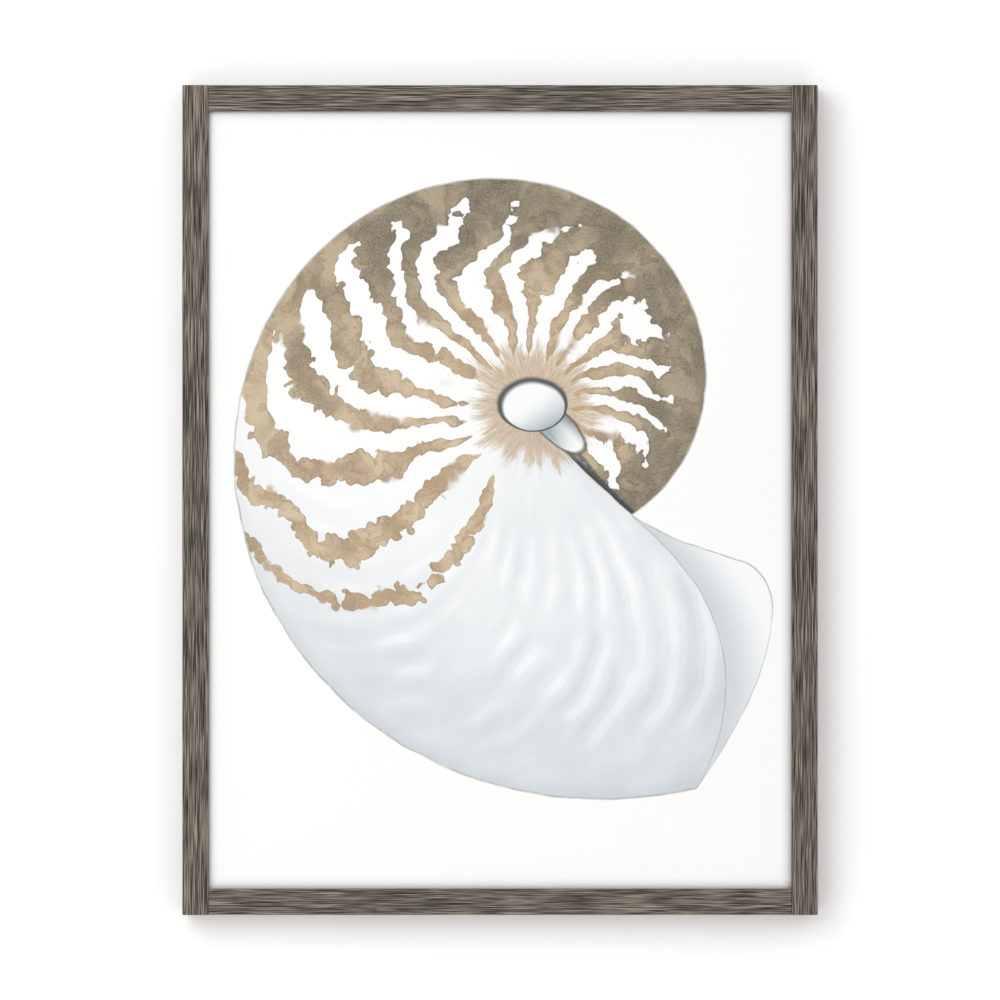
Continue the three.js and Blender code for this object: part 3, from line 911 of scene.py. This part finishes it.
def brassFinish():
    finish, tree, shader = newFinish("brass plate", Metallic=1.0, Specular_IOR_Level=0.5)
    x, y, z = parts(tree, objectPoint(tree))
    drawn = cloud(tree, point(tree, x * 60, y * 900, z * 2600), 1.0, 3.0)  # rolled along the strip
    stain = cloud(tree, objectPoint(tree), 170.0, 4.0, 0.65)
    tarnish = ramped(stain + (drawn - 0.5) * 0.25, 0.46, 0.70)
    feed(tree, shader.inputs["Base Color"], blended(tree, tarnish, brass["bright"], brass["tarnished"]))
    feed(tree, shader.inputs["Roughness"], tarnish * 0.24 + drawn * 0.16 + 0.20)
    feed(tree, shader.inputs["Normal"], bumped(tree, drawn, 0.03 * mm, 0.5))
    return finish


def turned(profile, sides, low, high):  # (radius, y) pairs turned about the box's middle line along y
    x, z = (low.x + high.x) / 2, (low.z + high.z) / 2
    vertices, faces, rings = [], [], []
    for radius, y in profile:
        start = len(vertices)
        count = sides if radius > 0 else 1
        for i in range(count):
            angle = 2 * math.pi * i / sides
            vertices.append((x + radius * math.cos(angle), y, z + radius * math.sin(angle)))
        rings.append([start + i for i in range(count)])
    for one, other in zip(rings, rings[1:]):
        for i in range(sides):
            k = (i + 1) % sides
            if len(one) == 1:
                faces.append((one[0], other[k], other[i]))
            elif len(other) == 1:
                faces.append((one[i], one[k], other[0]))
            else:
                faces.append((one[i], one[k], other[k], other[i]))
    return vertices, faces


def pinProfile(tip, top):
    pin = brass["pin"]
    shank, head, rim = pin["radius"], pin["headRadius"], pin["headRim"]
    seat = top - pin["headHeight"]
    profile = [(0, tip), (shank * 0.35, tip + 0.25 * mm), (shank, tip + pin["pointLength"]),
               (shank, seat - 0.1 * mm), (shank, seat), (head - 0.08 * mm, seat), (head, seat + rim)]
    for i in range(1, pin["domeSteps"]):
        angle = i / pin["domeSteps"] * math.pi / 2
        profile.append((head * math.cos(angle), seat + rim + (pin["headHeight"] - rim) * math.sin(angle)))
    return profile + [(0, top)]


def makeHangers():
    finish = brassFinish()
    for side in ("left", "right"):
        dressCad("hanger_" + side, finish, brass["easedEdge"])
        for number in (1, 2):
            name = f"hanger_{side}_pin_{number}"
            low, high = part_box(name)
            vertices, faces = turned(pinProfile(low.y, high.y), brass["pin"]["sides"], low, high)
            smoothed(addPiece(name + "_turned", vertices, faces, [finish], name), 40)
    print("made two sawtooth hangers and their pins")


rubber = {
    "black": (0.022, 0.022, 0.024, 1.0),
    "dusty": (0.075, 0.073, 0.070, 1.0),
    "rimHeight": 1.05 * mm,
    "flatRadius": 3.8 * mm,
    "dish": 0.12 * mm,  # the flat is a little hollow, so that its rim seats first
    "footEasing": 0.15 * mm,
    "domeSteps": 14,
    "sides": 72,
}


def bumperProfile(radius, base, wall):
    flat, foot, rise = rubber["flatRadius"], rubber["footEasing"], rubber["rimHeight"]
    profile = [(0, base), (radius - foot, base), (radius, base + foot)]
    for i in range(rubber["domeSteps"] + 1):
        angle = i / rubber["domeSteps"] * math.pi / 2
        profile.append((flat + (radius - flat) * math.cos(angle),
                        base + rise + (wall - base - rise) * math.sin(angle)))
    hollow = wall - rubber["dish"]
    return profile + [(flat - 0.5 * mm, wall), (flat - 0.8 * mm, hollow), (flat * 0.4, hollow), (0, hollow)]


def makeBumpers():
    finish, tree, shader = newFinish("rubber", Specular_IOR_Level=0.4)
    where = objectPoint(tree)
    pebbled = cloud(tree, where, 2600.0, 2.0)
    dust = ramped(cloud(tree, where, 420.0, 4.0, 0.7), 0.45, 0.75)
    feed(tree, shader.inputs["Base Color"], blended(tree, dust, rubber["black"], rubber["dusty"]))
    feed(tree, shader.inputs["Roughness"], dust * 0.25 + 0.6)
    feed(tree, shader.inputs["Normal"], bumped(tree, pebbled, 0.05 * mm, 0.5))
    for name in ("bumper_left", "bumper_right"):
        low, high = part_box(name)
        profile = bumperProfile((high.x - low.x) / 2, low.y, high.y)
        vertices, faces = turned(profile, rubber["sides"], low, high)
        smoothed(addPiece(name + "_pad", vertices, faces, [finish], name), 50)
    print("made the bumpers")


view = {
    "lens": 200.0,
    "sensor": 36.0,
    "farthest": 50.0,  # metres that the camera sees
    "across": 0.7838,  # metres across the square view, at the frame's face
    "daylight": 0.82,  # even light from all round
    "wallGlow": 0.06,
    "wallHalfWidth": 1.4,
    "wallAbove": 1.0,
    "wallGap": 0.2 * mm,
    "floorBelow": 0.75,
    "floorHalf": 4.0,
    "floorFront": -6.0,
    "wallWhite": (0.97, 0.97, 0.97, 1),
    "floorWhite": (0.8, 0.79, 0.77, 1),
}

lamps = {
    "key": {"at": (-1.5, -2.9, 1.1), "size": 2.6, "power": 40.5},
    "rear": {"at": (-1.2, 2.4, 1.3), "size": 1.6, "power": 30.0},
}


def makeCamera():
    lens = bpy.data.cameras.new("camera")
    lens.lens = view["lens"]
    lens.sensor_width = view["sensor"]
    distance = view["across"] * view["lens"] / view["sensor"]
    lens.clip_end = view["farthest"]
    camera = bpy.data.objects.new("camera", lens)
    camera.location = (0, frontY - distance, middleZ)
    camera.rotation_euler = (math.pi / 2, 0, 0)
    bpy.context.scene.collection.objects.link(camera)
    bpy.context.scene.camera = camera


def makeLamps():
    target = Vector((0, frontY, middleZ))
    for name, lamp in lamps.items():
        light = bpy.data.lights.new(name, "AREA")
        light.shape = "DISK"
        light.size = lamp["size"]
        light.energy = lamp["power"]
        holder = bpy.data.objects.new(name, light)
        holder.location = target + Vector(lamp["at"])
        holder.rotation_euler = (target - holder.location).to_track_quat("-Z", "Y").to_euler()
        holder.visible_camera = False
        bpy.context.scene.collection.objects.link(holder)
    world = bpy.data.worlds.new("studio")
    world.use_nodes = True
    tree = world.node_tree
    tree.nodes["Background"].inputs[0].default_value = (1, 1, 1, 1)
    ray = Amount(tree, tree.nodes.new("ShaderNodeLightPath").outputs["Is Camera Ray"])
    backdrop = ramped(ray, 0.0, 1.0, view["daylight"], 1.0)  # white where it is seen behind the frame
    feed(tree, tree.nodes["Background"].inputs[1], backdrop)
    bpy.context.scene.world = world


def makeRoom():
    def board(name, corners, colour):
        mesh = bpy.data.meshes.new(name)
        mesh.from_pydata(corners, [], [(0, 1, 2, 3)])
        flat = bpy.data.objects.new(name, mesh)
        bpy.context.scene.collection.objects.link(flat)
        finish, tree, shader = newFinish(name, Roughness=0.95, Base_Color=colour)
        mesh.materials.append(finish)
        return flat, tree, shader

    floorZ = cadLow.z - view["floorBelow"]
    side, front = view["floorHalf"], view["floorFront"]
    board("floor", [(-side, front, floorZ), (side, front, floorZ),
                    (side, side, floorZ), (-side, side, floorZ)], view["floorWhite"])
    wallY = cadHigh.y + view["wallGap"]
    half, top = view["wallHalfWidth"], cadHigh.z + view["wallAbove"]
    wall, tree, shader = board("wall", [(-half, wallY, floorZ), (half, wallY, floorZ),
                                        (half, wallY, top), (-half, wallY, top)], view["wallWhite"])
    shader.inputs["Emission Color"].default_value = (1, 1, 1, 1)
    shader.inputs["Emission Strength"].default_value = view["wallGlow"]
    # seen from behind the wall isn't there, so that the back of the frame can be looked at
    clear = tree.nodes.new("ShaderNodeBsdfTransparent")
    mixer = tree.nodes.new("ShaderNodeMixShader")
    facing = tree.nodes.new("ShaderNodeNewGeometry")
    tree.links.new(facing.outputs["Backfacing"], mixer.inputs[0])
    tree.links.new(shader.outputs[0], mixer.inputs[1])
    tree.links.new(clear.outputs[0], mixer.inputs[2])
    tree.links.new(mixer.outputs[0], tree.nodes["Material Output"].inputs[0])
    wall.visible_shadow = False
    wall.visible_diffuse = False
    wall.visible_glossy = False


makeMembers()
makePicture()
makeGlazing()
makeBack()
makeTabs()
makeHangers()
makeBumpers()
makeCamera()
makeLamps()
makeRoom()
bpy.context.scene.view_settings.view_transform = "Standard"
print("stage set")
